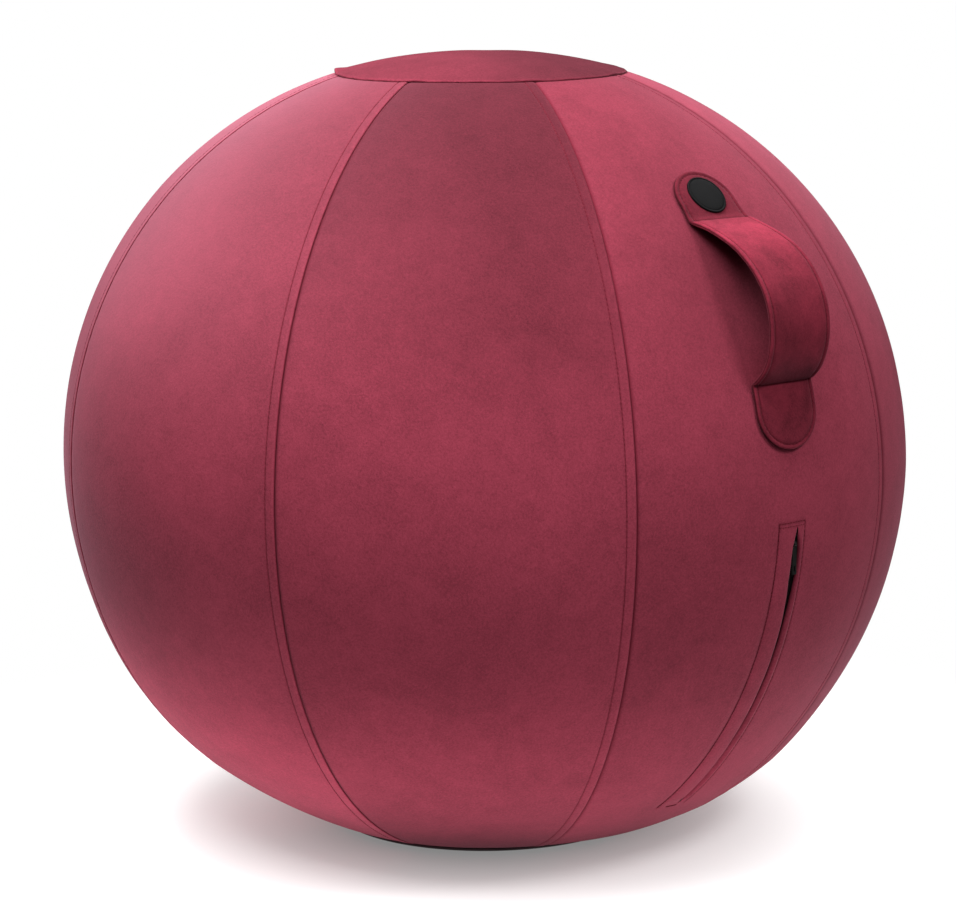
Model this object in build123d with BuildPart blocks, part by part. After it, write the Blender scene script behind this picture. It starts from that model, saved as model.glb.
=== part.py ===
from build123d import *
import os
import math

os.makedirs("parts", exist_ok=True)

# ---------------------------------------------------------------- driving dimensions (mm)
# The object stands on the XY plane, +Z up. The handle and the zip lie on the +X meridian.
ARC_OFF = 20.0          # centre of the meridian arc, distance from the vertical axis
ARC_R = 305.0           # radius of the outer meridian arc (largest diameter 2 * 325)
EQ_Z = 294.0            # height of the widest circle
BASE_T = 2.5            # thickness of the base panel
FOOT_R = 150.0          # rounding between the side and the flat foot
CLOTH = 2.0             # cover cloth with its backing
GORES = 8
GORE_SPAN = 360.0 / GORES
SEAM_GAP = 0.04         # degrees left at each gore seam
TOP_TIP_R = 94.0        # gores end here under the cap
TIP_R = 108.0           # gores end here above the base panel
BASE_R = 121.0          # radius of the base panel
CAP_R = 110.5           # radius of the cap
CAP_SHIFT = 11.0        # the cap is sewn on a little off the axis
CAP_SHIFT_AZ = -41.0
CAP_T = 2.3
BLADDER_GAP = 0.8
BLADDER_WALL = 1.2

# handle
STRAP_W = 58.0
STRAP_T = 3.6
WEB_W = 40.0
TAB_T = 3.0
TAB_UP_FOLD, TAB_UP_TIP = 39.7, 47.3      # meridian angles of the upper tab
TAB_LO_FOLD, TAB_LO_TIP = 15.3, 7.1       # meridian angles of the lower tab
BADGE_D, BADGE_T, BADGE_ANG = 32.0, 1.2, 42.9

# zip, all of it turned about the arc centre
ZIP_AZ = 1.6                              # azimuth of the zip, a little to one side of the handle
ZIP_TOP, ZIP_BOT = -2.9, -52.6            # meridian angles of the stitched box
ZIP_HALF = 13.0                           # half width of the opening in the gore
WELT_IN = 2.3                             # half width of the gap between the welts
SLIDER_ANG = -6.3                         # slider when closed
CHAIN_RHO = 298.0                         # radius of the tape at the chain
ZIP_TRAVEL = 41.0                         # degrees of slider travel

# valve
VALVE_ANG = -27.0
VALVE_RHO = 295.2                         # floor of the recess under the zip

# ---------------------------------------------------------------- derived
FLAT_D = EQ_Z - BASE_T                    # flat of the gore curve, below the arc centre
FOOT_C = ARC_OFF + math.sqrt((ARC_R - FOOT_R) ** 2 - (FLAT_D - FOOT_R) ** 2)
FOOT_Z = EQ_Z - FLAT_D + FOOT_R
FOOT_ANG = math.degrees(math.atan2(FOOT_Z - EQ_Z, FOOT_C - ARC_OFF))


def d2r(a):
    return math.radians(a)


def meridian(az):
    a = d2r(az)
    return Plane(origin=(0, 0, 0), x_dir=(math.cos(a), math.sin(a), 0), z_dir=(math.sin(a), -math.cos(a), 0))


def turned(x, y, z, az):
    b = d2r(az)
    return (x * math.cos(b) - y * math.sin(b), x * math.sin(b) + y * math.cos(b), z)


def radial(ang):
    # section plane of the zip: x across, y outward
    a = d2r(ang)
    return Plane(
        origin=turned(ARC_OFF, 0, EQ_Z, ZIP_AZ),
        x_dir=turned(0, 1, 0, ZIP_AZ),
        z_dir=turned(math.sin(a), 0, -math.cos(a), ZIP_AZ),
    )


def tangent(ang, rho, az=0.0):
    # plane touching the meridian: x across, y up the meridian, z outward
    a = d2r(ang)
    return Plane(
        origin=turned(ARC_OFF + rho * math.cos(a), 0, EQ_Z + rho * math.sin(a), az),
        x_dir=turned(0, 1, 0, az),
        z_dir=turned(math.cos(a), 0, math.sin(a), az),
    )


ZIP_AXIS = Axis(turned(ARC_OFF, 0, EQ_Z, ZIP_AZ), turned(0, 1, 0, ZIP_AZ))


def top_angle(rho, r):
    return math.degrees(math.acos((r - ARC_OFF) / rho))


def foot_angle(off, r):
    return -math.degrees(math.acos((r - FOOT_C) / (FOOT_R + off)))


# ---------------------------------------------------------------- cover gores
def gore_section(az):
    with BuildSketch(meridian(az)) as s:
        with BuildLine():
            a_out = top_angle(ARC_R, TOP_TIP_R)
            a_in = top_angle(ARC_R - CLOTH, TOP_TIP_R)
            o1 = CenterArc((ARC_OFF, EQ_Z), ARC_R, a_out, FOOT_ANG - a_out)
            o2 = CenterArc((FOOT_C, FOOT_Z), FOOT_R, FOOT_ANG, foot_angle(0, TIP_R) - FOOT_ANG)
            i1 = CenterArc((ARC_OFF, EQ_Z), ARC_R - CLOTH, a_in, FOOT_ANG - a_in)
            i2 = CenterArc((FOOT_C, FOOT_Z), FOOT_R - CLOTH, FOOT_ANG, foot_angle(-CLOTH, TIP_R) - FOOT_ANG)
            Line(o1 @ 0, i1 @ 0)
            Line(o2 @ 1, i2 @ 1)
        make_face()
    return s.sketch


def make_gore(k):
    az = -GORE_SPAN / 2 + GORE_SPAN * k + SEAM_GAP / 2
    with BuildPart() as g:
        add(gore_section(az))
        revolve(axis=Axis.Z, revolution_arc=GORE_SPAN - SEAM_GAP)
    return g


# gore that carries the zip: an opening with straight sides, long enough for both welts
with BuildPart() as cover_gore_zip:
    add(gore_section(-GORE_SPAN / 2 + SEAM_GAP / 2))
    revolve(axis=Axis.Z, revolution_arc=GORE_SPAN - SEAM_GAP)
    with BuildSketch(radial(ZIP_TOP)):
        with Locations((0, 300)):
            Rectangle(2 * ZIP_HALF, 40)
    revolve(axis=ZIP_AXIS, revolution_arc=ZIP_TOP - ZIP_BOT, mode=Mode.SUBTRACT)
cover_gore_zip.part.label = "cover_gore_zip"
export_step(cover_gore_zip.part, "parts/cover_gore_zip.step")

for k in range(1, GORES):
    gore = make_gore(k)
    gore.part.label = "cover_gore_%d" % (k + 1)
    export_step(gore.part, "parts/cover_gore_%d.step" % (k + 1))

# ---------------------------------------------------------------- top cap and base panel
with BuildPart() as top_cap:
    with BuildSketch(meridian(0)):
        with BuildLine():
            r_in, r_out = ARC_R + 0.1, ARC_R + 0.1 + CAP_T
            wide = CAP_R + CAP_SHIFT + 8
            a_in, a_out = top_angle(r_in, wide), top_angle(r_out, wide)
            c1 = CenterArc((ARC_OFF, EQ_Z), r_out, a_out, 90 - a_out)
            c2 = CenterArc((ARC_OFF, EQ_Z), r_in, a_in, 90 - a_in)
            Line(c1 @ 0, c2 @ 0)
            Line(c1 @ 1, (0, EQ_Z + r_out))
            Line((0, EQ_Z + r_out), (0, EQ_Z + r_in))
            Line((0, EQ_Z + r_in), c2 @ 1)
        make_face()
    revolve(axis=Axis.Z, revolution_arc=360)
    with BuildSketch(Plane.XY.offset(EQ_Z)):
        with Locations(turned(CAP_SHIFT, 0, 0, CAP_SHIFT_AZ)[0:2]):
            Circle(CAP_R)
    extrude(amount=ARC_R + 40, mode=Mode.INTERSECT)
top_cap.part.label = "top_cap"
export_step(top_cap.part, "parts/top_cap.step")

with BuildPart() as base_panel:
    with BuildSketch(meridian(0)):
        with BuildLine():
            b_out = foot_angle(BASE_T, BASE_R)
            b_in = foot_angle(0.1, BASE_R)
            p1 = CenterArc((FOOT_C, FOOT_Z), FOOT_R + BASE_T, -90, b_out + 90)
            p2 = CenterArc((FOOT_C, FOOT_Z), FOOT_R + 0.1, -90, b_in + 90)
            Line(p1 @ 1, p2 @ 1)
            Line(p1 @ 0, (0, 0))
            Line((0, 0), (0, BASE_T - 0.1))
            Line((0, BASE_T - 0.1), p2 @ 0)
        make_face()
    revolve(axis=Axis.Z, revolution_arc=360)
base_panel.part.label = "base_panel"
export_step(base_panel.part, "parts/base_panel.step")


# ---------------------------------------------------------------- inflated inner ball
def ball_face(off):
    with BuildSketch(meridian(0)) as s:
        with BuildLine():
            m = CenterArc((ARC_OFF, EQ_Z), ARC_R + off, 90, FOOT_ANG - 90)
            f = CenterArc((FOOT_C, FOOT_Z), FOOT_R + off, FOOT_ANG, -90 - FOOT_ANG)
            Line(m @ 0, (0, EQ_Z + ARC_R + off))
            Line((0, EQ_Z + ARC_R + off), (0, FOOT_Z - FOOT_R - off))
            Line((0, FOOT_Z - FOOT_R - off), f @ 1)
        make_face()
    return s.sketch


def zip_recess(floor_rho, half, extra):
    with BuildPart() as r:
        with BuildSketch(radial(ZIP_TOP + extra)):
            with Locations((0, floor_rho + 20)):
                Rectangle(2 * half, 40)
        revolve(axis=ZIP_AXIS, revolution_arc=ZIP_TOP - ZIP_BOT + 2 * extra)
    return r.part


skin = -(CLOTH + BLADDER_GAP)
with BuildPart() as bladder:
    add(ball_face(skin))
    revolve(axis=Axis.Z, revolution_arc=360)
    add(zip_recess(VALVE_RHO, 21.0, 0.4), mode=Mode.SUBTRACT)
    with BuildPart(mode=Mode.PRIVATE) as cavity:
        add(ball_face(skin - BLADDER_WALL))
        revolve(axis=Axis.Z, revolution_arc=360)
        add(zip_recess(VALVE_RHO - BLADDER_WALL, 21.0 + BLADDER_WALL, 0.4 + 0.3), mode=Mode.SUBTRACT)
    add(cavity.part, mode=Mode.SUBTRACT)
    # moulded valve boss, reached through the open zip
    with BuildSketch(tangent(VALVE_ANG, VALVE_RHO - 0.8, ZIP_AZ)):
        Circle(12)
    extrude(amount=-16)
    with BuildSketch(tangent(VALVE_ANG, VALVE_RHO + 1, ZIP_AZ)):
        Circle(9.2)
    extrude(amount=-3.2, mode=Mode.SUBTRACT)
    with BuildSketch(tangent(VALVE_ANG, VALVE_RHO + 1, ZIP_AZ)):
        Circle(4.5)
    extrude(amount=-25, mode=Mode.SUBTRACT)
bladder.part.label = "bladder"
export_step(bladder.part, "parts/bladder.step")

with BuildPart() as valve_plug:
    with BuildSketch(tangent(VALVE_ANG, VALVE_RHO - 2.2, ZIP_AZ)):
        Circle(8.8)
    extrude(amount=1.8)
    with BuildSketch(tangent(VALVE_ANG, VALVE_RHO - 2.2, ZIP_AZ)):
        Circle(4.5)
    extrude(amount=-13)
    stem_end = valve_plug.edges().filter_by(GeomType.CIRCLE).sort_by_distance(tangent(VALVE_ANG, VALVE_RHO - 15.2, ZIP_AZ).origin)
    fillet(stem_end[0:1], 1.2)
valve_plug.part.label = "valve_plug"
export_step(valve_plug.part, "parts/valve_plug.step")

# ---------------------------------------------------------------- handle
STRAP_MID = [
    (258.1, 194.2), (281.5, 187.0), (303.5, 176.5), (318.5, 163.0), (328.8, 145.5),
    (332.6, 128.0), (331.8, 112.0), (326.5, 96.5), (317.2, 84.2),
]
LEG_UP = 0.285          # share of the loop taken by the upper leg
LEG_LO = 0.80           # share of the loop where the lower leg starts

strap_edge = Spline(*[(x, z + EQ_Z) for x, z in STRAP_MID])


def strap_pt(u, off):
    p, t = strap_edge @ u, strap_edge % u
    return (p.X - t.Y * off, p.Y + t.X * off)


def strap_strip(u0, u1, lo, hi, width, n=9):
    us = [u0 + (u1 - u0) * i / (n - 1) for i in range(n)]
    with BuildPart() as st:
        with BuildSketch(meridian(0)):
            with BuildLine():
                e1 = Spline(*[strap_pt(u, lo) for u in us])
                e2 = Spline(*[strap_pt(u, hi) for u in us])
                Line(e1 @ 0, e2 @ 0)
                Line(e1 @ 1, e2 @ 1)
            make_face()
        extrude(amount=width / 2, both=True)
    return st


FACE_T = 1.3
half_t = STRAP_T / 2

handle_leg_upper = strap_strip(0.0, LEG_UP - 0.002, -half_t, half_t, STRAP_W)
handle_leg_upper.part.label = "handle_leg_upper"
export_step(handle_leg_upper.part, "parts/handle_leg_upper.step")

handle_leg_lower = strap_strip(LEG_LO + 0.002, 1.0, -half_t, half_t, STRAP_W)
handle_leg_lower.part.label = "handle_leg_lower"
export_step(handle_leg_lower.part, "parts/handle_leg_lower.step")

handle_grip_face = strap_strip(LEG_UP, LEG_LO, half_t - FACE_T, half_t, STRAP_W)
handle_grip_face.part.label = "handle_grip_face"
export_step(handle_grip_face.part, "parts/handle_grip_face.step")

handle_grip_lining = strap_strip(LEG_UP, LEG_LO, -half_t, -half_t + FACE_T, STRAP_W)
handle_grip_lining.part.label = "handle_grip_lining"
export_step(handle_grip_lining.part, "parts/handle_grip_lining.step")

handle_grip_webbing = strap_strip(LEG_UP, LEG_LO, -half_t + FACE_T, half_t - FACE_T, WEB_W)
handle_grip_webbing.part.label = "handle_grip_webbing"
export_step(handle_grip_webbing.part, "parts/handle_grip_webbing.step")


def shell_band(rho0, rho1, ang0, ang1, span):
    with BuildPart() as b:
        with BuildSketch(meridian(-span / 2)):
            with BuildLine():
                e1 = CenterArc((ARC_OFF, EQ_Z), rho1, ang0, ang1 - ang0)
                e2 = CenterArc((ARC_OFF, EQ_Z), rho0, ang0, ang1 - ang0)
                Line(e1 @ 0, e2 @ 0)
                Line(e1 @ 1, e2 @ 1)
            make_face()
        revolve(axis=Axis.Z, revolution_arc=span)
    return b.part


def make_tab(fold, tip):
    mid = (fold + tip) / 2
    half_l = ARC_R * d2r(abs(tip - fold)) / 2
    up = 1 if tip > fold else -1
    rad = STRAP_W / 2
    with BuildPart() as t:
        add(shell_band(ARC_R + 0.15, ARC_R + 0.15 + TAB_T, min(fold, tip) - 3, max(fold, tip) + 3, 20))
        with BuildSketch(tangent(mid, ARC_R)):
            with BuildLine():
                y0, y1 = -up * half_l, up * (half_l - rad)
                Polyline((-rad, y1), (-rad, y0), (rad, y0), (rad, y1))
                ThreePointArc((rad, y1), (0, up * half_l), (-rad, y1))
            make_face()
        extrude(amount=30, both=True, mode=Mode.INTERSECT)
    return t


handle_tab_upper = make_tab(TAB_UP_FOLD, TAB_UP_TIP)
handle_tab_upper.part.label = "handle_tab_upper"
export_step(handle_tab_upper.part, "parts/handle_tab_upper.step")

handle_tab_lower = make_tab(TAB_LO_FOLD, TAB_LO_TIP)
handle_tab_lower.part.label = "handle_tab_lower"
export_step(handle_tab_lower.part, "parts/handle_tab_lower.step")

with BuildPart() as badge:
    rho = ARC_R + 0.15 + TAB_T + 0.1
    add(shell_band(rho, rho + BADGE_T, BADGE_ANG - 6, BADGE_ANG + 6, 16))
    with BuildSketch(tangent(BADGE_ANG, ARC_R)):
        Circle(BADGE_D / 2)
    extrude(amount=30, both=True, mode=Mode.INTERSECT)
badge.part.label = "badge"
export_step(badge.part, "parts/badge.step")


# ---------------------------------------------------------------- zip
def zip_strip(pts, a0, a1, rnd=0.0):
    with BuildPart() as z:
        with BuildSketch(radial(a0)):
            with BuildLine():
                Polyline(*pts, close=True)
            make_face()
        revolve(axis=ZIP_AXIS, revolution_arc=a0 - a1)
    return z


def side(pts, sgn):
    return [(sgn * x, y) for x, y in pts]


WELT_PTS = [(WELT_IN, 301.9), (12.9, 301.9), (12.9, 305.2), (10.4, 306.1), (5.2, 306.1), (3.0, 305.4), (WELT_IN, 304.4)]
TAPE_PTS = [
    (0.8, CHAIN_RHO - 0.4), (5.6, CHAIN_RHO - 0.4), (12.6, 300.2), (20.0, 300.2),
    (20.0, 301.0), (12.4, 301.0), (5.4, CHAIN_RHO + 0.4), (0.8, CHAIN_RHO + 0.4),
]
COIL_PTS = [
    (0.7, CHAIN_RHO + 0.7), (1.0, CHAIN_RHO + 0.45), (2.9, CHAIN_RHO + 0.45), (3.2, CHAIN_RHO + 0.8),
    (3.2, CHAIN_RHO + 1.7), (2.8, CHAIN_RHO + 2.0), (1.0, CHAIN_RHO + 2.0), (0.7, CHAIN_RHO + 1.7),
]
SLIDER_HALF = 6.5
slider_deg = math.degrees(SLIDER_HALF / CHAIN_RHO)
stop_top = SLIDER_ANG + slider_deg + 0.15
stop_bot = SLIDER_ANG - ZIP_TRAVEL - slider_deg - 0.15

for sgn, word in ((-1, "left"), (1, "right")):
    welt = zip_strip(side(WELT_PTS, sgn), ZIP_TOP - 0.05, ZIP_BOT + 0.05)
    welt.part.label = "zip_welt_" + word
    export_step(welt.part, "parts/zip_welt_%s.step" % word)
    tape = zip_strip(side(TAPE_PTS, sgn), ZIP_TOP + 0.1, ZIP_BOT - 0.1)
    tape.part.label = "zip_tape_" + word
    export_step(tape.part, "parts/zip_tape_%s.step" % word)
    coil = zip_strip(side(COIL_PTS, sgn), stop_top - 0.05, stop_bot + 0.05)
    coil.part.label = "zip_coil_" + word
    export_step(coil.part, "parts/zip_coil_%s.step" % word)

# stops crimped on the tape edges at both ends
STOP_PTS = [(0.6, CHAIN_RHO + 0.45), (3.3, CHAIN_RHO + 0.45), (3.3, CHAIN_RHO + 2.4), (0.6, CHAIN_RHO + 2.4)]
with BuildPart() as zip_top_stops:
    for sgn in (-1, 1):
        with BuildSketch(radial(stop_top + 0.6)):
            with BuildLine():
                Polyline(*side(STOP_PTS, sgn), close=True)
            make_face()
        revolve(axis=ZIP_AXIS, revolution_arc=0.6)
zip_top_stops.part.label = "zip_top_stops"
export_step(zip_top_stops.part, "parts/zip_top_stops.step")

with BuildPart() as zip_bottom_stop:
    with BuildSketch(radial(stop_bot)):
        with Locations((0, CHAIN_RHO + 0.45 + 1.0)):
            Rectangle(6.6, 2.0)
    revolve(axis=ZIP_AXIS, revolution_arc=0.9)
zip_bottom_stop.part.label = "zip_bottom_stop"
export_step(zip_bottom_stop.part, "parts/zip_bottom_stop.step")

# slider: two plates, a middle post between the chain halves, a lug with a cross hole for the pull
PLATE_T = 1.2
LUG_Z = 4.7
LUG_Y = 1.0
with BuildPart() as zip_slider:
    for z0 in (-2.0, 2.2):
        with BuildSketch(tangent(SLIDER_ANG, CHAIN_RHO + z0, ZIP_AZ)):
            with BuildLine():
                Polyline((-4.3, SLIDER_HALF), (4.3, SLIDER_HALF), (4.3, 1.5), (3.7, -SLIDER_HALF),
                         (-3.7, -SLIDER_HALF), (-4.3, 1.5), close=True)
            make_face()
        extrude(amount=PLATE_T)
    with BuildSketch(tangent(SLIDER_ANG, CHAIN_RHO - 2.0, ZIP_AZ)):
        with Locations((0, 2.0)):
            Rectangle(0.8, 8.6)
    extrude(amount=5.4)
    lug_plane = Plane(
        origin=tangent(SLIDER_ANG, CHAIN_RHO, ZIP_AZ).from_local_coords(Vector(0, LUG_Y, LUG_Z)),
        x_dir=tangent(SLIDER_ANG, 0, ZIP_AZ).y_dir,
        z_dir=turned(0, 1, 0, ZIP_AZ),
    )
    lug_s = lug_plane.y_dir.dot(tangent(SLIDER_ANG, 0, ZIP_AZ).z_dir)
    with BuildSketch(lug_plane):
        Circle(1.75)
        with Locations((0, -lug_s * 0.9)):
            Rectangle(3.5, 1.8)
        Circle(0.85, mode=Mode.SUBTRACT)
    extrude(amount=1.2, both=True)
zip_slider.part.label = "zip_slider"
export_step(zip_slider.part, "parts/zip_slider.step")

# pull: round pin through the lug, two arms and a flat tab hanging straight down
PULL_L = 22.0
PULL_W = 4.2
pull_plane = Plane(origin=lug_plane.origin, x_dir=turned(0, 1, 0, ZIP_AZ), z_dir=turned(1, 0, 0, ZIP_AZ))
with BuildPart() as zip_pull:
    with BuildSketch(lug_plane):
        Circle(0.75)
    extrude(amount=PULL_W / 2, both=True)
    with BuildSketch(pull_plane):
        with Locations((0, -2.4 - (PULL_L - 2.4) / 2)):
            Rectangle(PULL_W, PULL_L - 2.4)
        for sgn in (-1, 1):
            with Locations((sgn * (PULL_W - 0.75) / 2, -1.5)):
                Rectangle(0.75, 3.0)
        with Locations((0, -PULL_L + 4.2)):
            SlotOverall(4.6, 1.7, rotation=90, mode=Mode.SUBTRACT)
    extrude(amount=0.55, both=True)
zip_pull.part.label = "zip_pull"
export_step(zip_pull.part, "parts/zip_pull.step")
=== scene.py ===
import math
import bmesh
import bpy
import numpy as np
from mathutils import Matrix, Vector


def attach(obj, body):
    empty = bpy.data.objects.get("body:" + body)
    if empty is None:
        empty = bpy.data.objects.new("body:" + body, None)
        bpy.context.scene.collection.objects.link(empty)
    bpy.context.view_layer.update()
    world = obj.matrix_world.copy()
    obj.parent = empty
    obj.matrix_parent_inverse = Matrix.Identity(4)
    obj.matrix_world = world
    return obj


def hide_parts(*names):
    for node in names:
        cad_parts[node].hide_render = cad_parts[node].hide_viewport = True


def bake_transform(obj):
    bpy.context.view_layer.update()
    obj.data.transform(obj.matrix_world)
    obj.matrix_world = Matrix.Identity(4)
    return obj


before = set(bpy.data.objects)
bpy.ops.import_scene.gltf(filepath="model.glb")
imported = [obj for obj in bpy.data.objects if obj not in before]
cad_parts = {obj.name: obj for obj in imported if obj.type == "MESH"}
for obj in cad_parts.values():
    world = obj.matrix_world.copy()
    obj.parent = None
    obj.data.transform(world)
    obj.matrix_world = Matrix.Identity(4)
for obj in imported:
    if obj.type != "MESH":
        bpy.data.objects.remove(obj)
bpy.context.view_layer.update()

MM = 0.001
PI = math.pi

# ------------------------------------------------------------------ shape of the cover (mm)
ARC_OFF, ARC_R, EQ_Z = 20.0, 305.0, 294.0
BASE_T, FOOT_R = 2.5, 150.0
TOP_TIP_R, TIP_R, BASE_R = 94.0, 108.0, 121.0
CAP_R, CAP_SHIFT, CAP_SHIFT_AZ = 110.5, 11.0, math.radians(-41.0)
CAP_X, CAP_Y = CAP_SHIFT * math.cos(CAP_SHIFT_AZ), CAP_SHIFT * math.sin(CAP_SHIFT_AZ)
HALF = PI / 8                                   # half a gore, radians
FLAT_D = EQ_Z - BASE_T
FOOT_C = ARC_OFF + math.sqrt((ARC_R - FOOT_R) ** 2 - (FLAT_D - FOOT_R) ** 2)
FOOT_Z = EQ_Z - FLAT_D + FOOT_R
FOOT_A = math.atan2(FOOT_Z - EQ_Z, FOOT_C - ARC_OFF)
TOP_A = math.acos((TOP_TIP_R - ARC_OFF) / ARC_R)
END_A = -math.acos((TIP_R - FOOT_C) / FOOT_R)
LEN_MAIN = ARC_R * (TOP_A - FOOT_A)
LEN_FOOT = FOOT_R * (FOOT_A - END_A)
LEN = LEN_MAIN + LEN_FOOT
STITCH = 3.5                                    # stitch pitch
ZIP_AZ = math.radians(1.6)


def merid(s):
    """Meridian of the cover at arc length s from the upper end of a gore: r, z, outward normal."""
    s = np.asarray(s, float)
    a = np.where(s < LEN_MAIN, TOP_A - s / ARC_R, FOOT_A - (s - LEN_MAIN) / FOOT_R)
    big = s < LEN_MAIN
    r = np.where(big, ARC_OFF + ARC_R * np.cos(a), FOOT_C + FOOT_R * np.cos(a))
    z = np.where(big, EQ_Z + ARC_R * np.sin(a), FOOT_Z + FOOT_R * np.sin(a))
    return r, z, np.cos(a), np.sin(a)


def s_of_angle(deg):
    return ARC_R * (TOP_A - math.radians(deg))


def smooth01(x):
    x = np.clip(x, 0, 1)
    return x * x * (3 - 2 * x)


def wave(x, seed, scale, n=5):
    """Smooth repeatable noise along x (mm), about -1 to 1."""
    g = np.random.RandomState(seed)
    out = np.zeros_like(np.asarray(x, float))
    for k in range(n):
        f = (0.6 + 1.4 * g.rand()) / scale
        out = out + np.sin(2 * PI * (f * x + g.rand())) * (0.5 + 0.5 * g.rand())
    return out / n * 1.6


def make(name, verts, faces, attrs=None, closed=False):
    """Mesh object from arrays in mm. faces: list of arrays with 3 or more columns."""
    me = bpy.data.meshes.new(name)
    v = np.asarray(verts, float) * MM
    me.vertices.add(len(v))
    me.vertices.foreach_set("co", v.astype(np.float32).ravel())
    groups = [np.asarray(f, np.int32) for f in (faces if isinstance(faces, list) else [faces]) if len(f)]
    idx = np.concatenate([g.ravel() for g in groups])
    tot = np.concatenate([np.full(len(g), g.shape[1], np.int32) for g in groups])
    start = np.r_[0, np.cumsum(tot)[:-1]].astype(np.int32)
    me.loops.add(len(idx))
    me.loops.foreach_set("vertex_index", idx)
    me.polygons.add(len(tot))
    me.polygons.foreach_set("loop_start", start)
    me.polygons.foreach_set("loop_total", tot)
    me.polygons.foreach_set("use_smooth", np.full(len(tot), True))
    me.update(calc_edges=True)
    me.validate()
    for key, val in (attrs or {}).items():
        val = np.asarray(val, np.float32)
        if val.ndim == 1:
            a = me.attributes.new(key, "FLOAT", "POINT")
            a.data.foreach_set("value", val)
        else:
            a = me.attributes.new(key, "FLOAT_VECTOR", "POINT")
            a.data.foreach_set("vector", (val * MM).astype(np.float32).ravel())
    if closed:
        bm = bmesh.new()
        bm.from_mesh(me)
        bmesh.ops.recalc_face_normals(bm, faces=bm.faces)
        bm.to_mesh(me)
        bm.free()
    ob = bpy.data.objects.new(name, me)
    bpy.context.scene.collection.objects.link(ob)
    return ob


def grid_faces(rows, cols, keep=None, wrap=False, flip=False):
    i, j = np.meshgrid(np.arange(rows - 1), np.arange(cols if wrap else cols - 1), indexing="ij")
    j2 = (j + 1) % cols
    f = np.stack([i * cols + j, (i + 1) * cols + j, (i + 1) * cols + j2, i * cols + j2], -1)
    if flip:
        f = f[..., ::-1]
    if keep is not None:
        f = f[keep]
    return f.reshape(-1, 4)


# ------------------------------------------------------------------ sewing thread
def stitch_mesh(name, sets, length=2.7, rad=0.3, sink=0.12, attrs=False):
    """Short arched thread stitches. sets: list of (mid points, directions, normals)."""
    mid, along, normal = [np.concatenate([q[i] for q in sets]) for i in range(3)]
    n = len(mid)
    xs = np.array([-0.5, -0.42, -0.2, 0.2, 0.42, 0.5]) * length
    hs = np.array([-0.55, -0.02, 0.16, 0.16, -0.02, -0.55]) - sink
    rr = np.array([0.75, 0.95, 1.0, 1.0, 0.95, 0.75]) * rad
    sides = 6
    ang = np.arange(sides) * 2 * PI / sides
    along = along / np.linalg.norm(along, axis=1)[:, None]
    normal = normal / np.linalg.norm(normal, axis=1)[:, None]
    across = np.cross(normal, along)
    across /= np.linalg.norm(across, axis=1)[:, None]
    v = (
        mid[:, None, None, :]
        + along[:, None, None, :] * xs[None, :, None, None]
        + normal[:, None, None, :] * (hs[None, :, None] + rr[None, :, None] * np.sin(ang)[None, None, :])[..., None]
        + across[:, None, None, :] * (rr[None, :, None] * np.cos(ang)[None, None, :])[..., None]
    )
    one = grid_faces(len(xs), sides, wrap=True)
    off = (np.arange(n) * len(xs) * sides)
    f = (one[None] + off[:, None, None]).reshape(-1, 4)
    ring = np.arange(sides)
    ends = [ring[::-1][None] + off[:, None], (ring + (len(xs) - 1) * sides)[None] + off[:, None]]
    verts = v.reshape(-1, 3)
    return make(name, verts, [f] + ends, {"rest": verts} if attrs else None, closed=True)


# ------------------------------------------------------------------ gores
# profile across a seam: the gore on the lower-azimuth side ends in a turned, topstitched edge,
# its neighbour comes out from under that edge
BAND = np.array([
    (1.4, -1.7), (0.7, -1.6), (0.2, -1.35), (0.0, -0.95), (0.03, -0.55), (0.18, -0.22), (0.45, 0.0), (0.9, 0.14),
    (1.6, 0.22), (2.6, 0.25), (3.8, 0.24), (5.0, 0.2), (6.0, 0.13), (6.7, 0.04), (7.1, -0.05), (7.4, -0.09),
    (7.7, -0.05), (8.2, 0.02), (9.0, 0.04), (10.5, 0.03), (13.0, 0.01), (18.0, 0.0),
])
PLAIN = np.array([
    (-2.4, -1.9), (-1.3, -1.7), (-0.6, -1.4), (0.0, -1.05), (0.4, -0.8), (0.8, -0.58), (1.4, -0.36), (2.2, -0.2),
    (3.4, -0.09), (5.0, -0.03), (8.0, 0.0), (12.0, 0.0),
])
STITCH_D = 7.4

# painted light and shade of each gore, partly the lie of its nap: low down, about the middle and near the top
NAP_AND_LIGHT = {
    0: (0.97, 1.06, 0.80), 1: (0.92, 1.12, 1.12), 2: (1.0, 1.05, 0.80), 3: (1.0, 1.05, 1.15),
    4: (1.0, 1.05, 0.75), 5: (1.70, 1.05, 1.15), 6: (1.32, 1.0, 0.80), 7: (1.06, 1.11, 0.40),
}

gore_names = ["cover_gore_zip"] + ["cover_gore_%d" % (k + 1) for k in range(1, 8)]
S_TOP, S_BOT = s_of_angle(-2.9), s_of_angle(-52.6)       # ends of the stitched zip box
BOX = {-1: 18.6, 1: 7.8}                                 # stitch rows either side of the gap, which lies off-centre between them
SLIT0, SLIT1 = S_TOP + 3.7, S_BOT - 0.8                  # ends of the gap
BARS = (S_TOP + 0.3, S_TOP + 3.1)                        # two rows of stitches above the gap

BULGE_Z = [0, 5, 36, 67, 98, 130, 160, 191, 222, 253, 284, 315, 350, 500, 560, 602]
BULGE_R = [3.5, 5.2, 9.2, 10.0, 7.4, 5.2, 3.7, 2.3, 0.9, 0.1, -0.2, -1.2, -1.8, -1.9, -1.8, -1.0]
BULGE_L = [-4.5, -4.5, -0.6, 3.5, 3.9, 3.4, 2.0, 0.6, 0.0, 0.0, 0.0, 0.0, 0.2, 0.9, 0.2, -0.8]


def gauss_az(phi, mid, wide):
    d = (phi - np.radians(mid) + PI) % (2 * PI) - PI
    return np.exp(-(d / math.radians(wide)) ** 2)


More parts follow.
